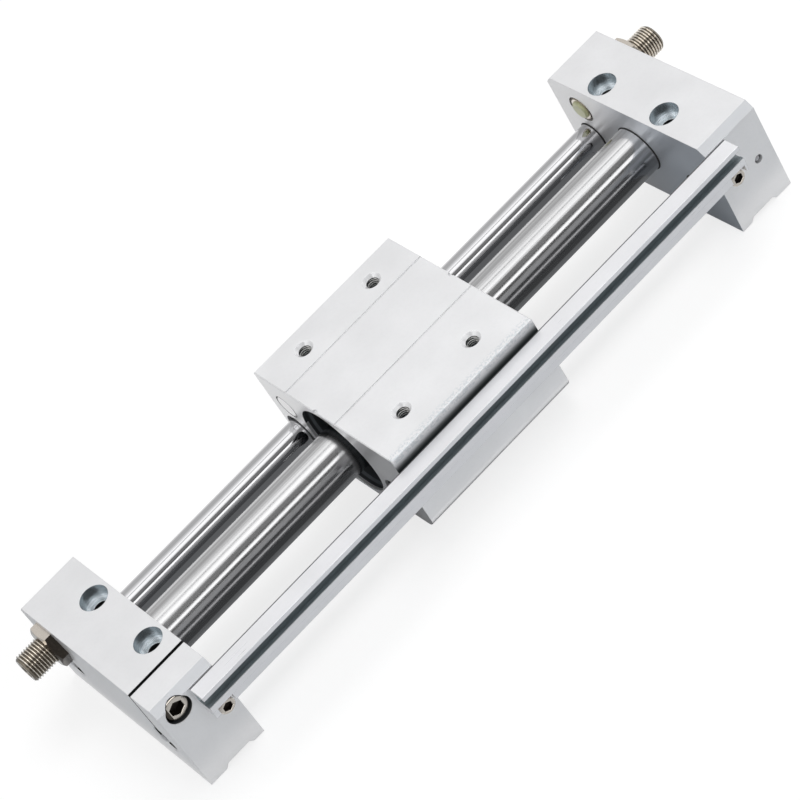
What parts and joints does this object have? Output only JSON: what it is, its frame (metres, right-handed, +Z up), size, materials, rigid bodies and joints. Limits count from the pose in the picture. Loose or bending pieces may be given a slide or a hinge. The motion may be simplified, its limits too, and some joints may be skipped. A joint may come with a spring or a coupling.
{
  "type": "magnetic rodless cylinder",
  "caption": "Magnetically coupled rodless cylinder: a sliding block runs on a tube and guide shafts between two end plates, with a sensor rail and adjustable stops.",
  "frame": {"origin": "centre of the four mounting holes of the end plates, on the base plane", "axes": "+X along the tube from plate A (ports, clamp slit) to plate B, +Z up, the sensor rail on the -Y side"},
  "size_m": [0.2804, 0.0802, 0.0385],
  "materials": {
    "plate_aluminium": "matt silver anodised",
    "block_aluminium": "matt silver anodised",
    "rail_aluminium": "silver anodised extrusion",
    "tube_steel": "drawn stainless steel",
    "shaft_chrome": "hard chrome plated",
    "nickel_steel": "nickel plated",
    "ball_steel": "polished",
    "black_rubber": "matt",
    "urethane": "yellow-green urethane",
    "inner_aluminium": "machined",
    "spring_steel": "phosphated",
    "magnet": "plated sintered magnet",
    "yoke_steel": "zinc plated",
    "resin": "filled resin",
    "bush_bronze": "sintered bronze",
    "turned_steel": "turned"
  },
  "bodies": {
    "frame": {"end_plate_a": "plate_aluminium", "end_plate_b": "plate_aluminium", "cylinder_tube": "tube_steel", "guide_shaft_left": "shaft_chrome", "guide_shaft_right": "shaft_chrome", "sensor_rail": "rail_aluminium", "rail_screws": "nickel_steel", "clamp_screw": "nickel_steel", "shaft_set_screws": "nickel_steel", "passage_ball": "ball_steel", "tube_gaskets": "black_rubber", "shaft_gasket": "black_rubber", "lock_nuts": "nickel_steel"},
    "bolt_a": {"adjusting_bolt_a": "nickel_steel", "bolt_bumper_a": "urethane"},
    "bolt_b": {"adjusting_bolt_b": "nickel_steel", "bolt_bumper_b": "urethane"},
    "carriage": {"slide_block": "block_aluminium", "slider_sleeve": "inner_aluminium", "slider_end_holders": "inner_aluminium", "slider_wear_rings": "resin", "slider_scrapers": "black_rubber", "retaining_rings": "spring_steel", "outer_magnets": "magnet", "outer_yokes": "yoke_steel", "guide_bushes": "bush_bronze", "bush_seals": "black_rubber", "switch_magnet": "magnet", "stop_pads": "turned_steel"},
    "piston": {"piston_shaft": "turned_steel", "inner_magnets": "magnet", "inner_yokes": "yoke_steel", "piston_heads": "inner_aluminium", "piston_seals": "black_rubber", "piston_wear_rings": "resin", "piston_nuts": "yoke_steel", "piston_cushions": "black_rubber"}
  },
  "joints": [
    {"name": "carriage_slide", "type": "slide", "parent": "frame", "child": "carriage", "axis": [1, 0, 0], "range_m": [-0.07725, 0.07275]},
    {"name": "piston_slide", "type": "slide", "parent": "frame", "child": "piston", "axis": [1, 0, 0], "range_m": [-0.07725, 0.07275]},
    {"name": "bolt_a_adjust", "type": "slide", "parent": "frame", "child": "bolt_a", "axis": [-1, 0, 0], "range_m": [0, 0.008]},
    {"name": "bolt_b_adjust", "type": "slide", "parent": "frame", "child": "bolt_b", "axis": [1, 0, 0], "range_m": [0, 0.008]}
  ],
  "couplings": [
    {"joint": "piston_slide", "follows": "carriage_slide", "ratio": 1}
  ]
}
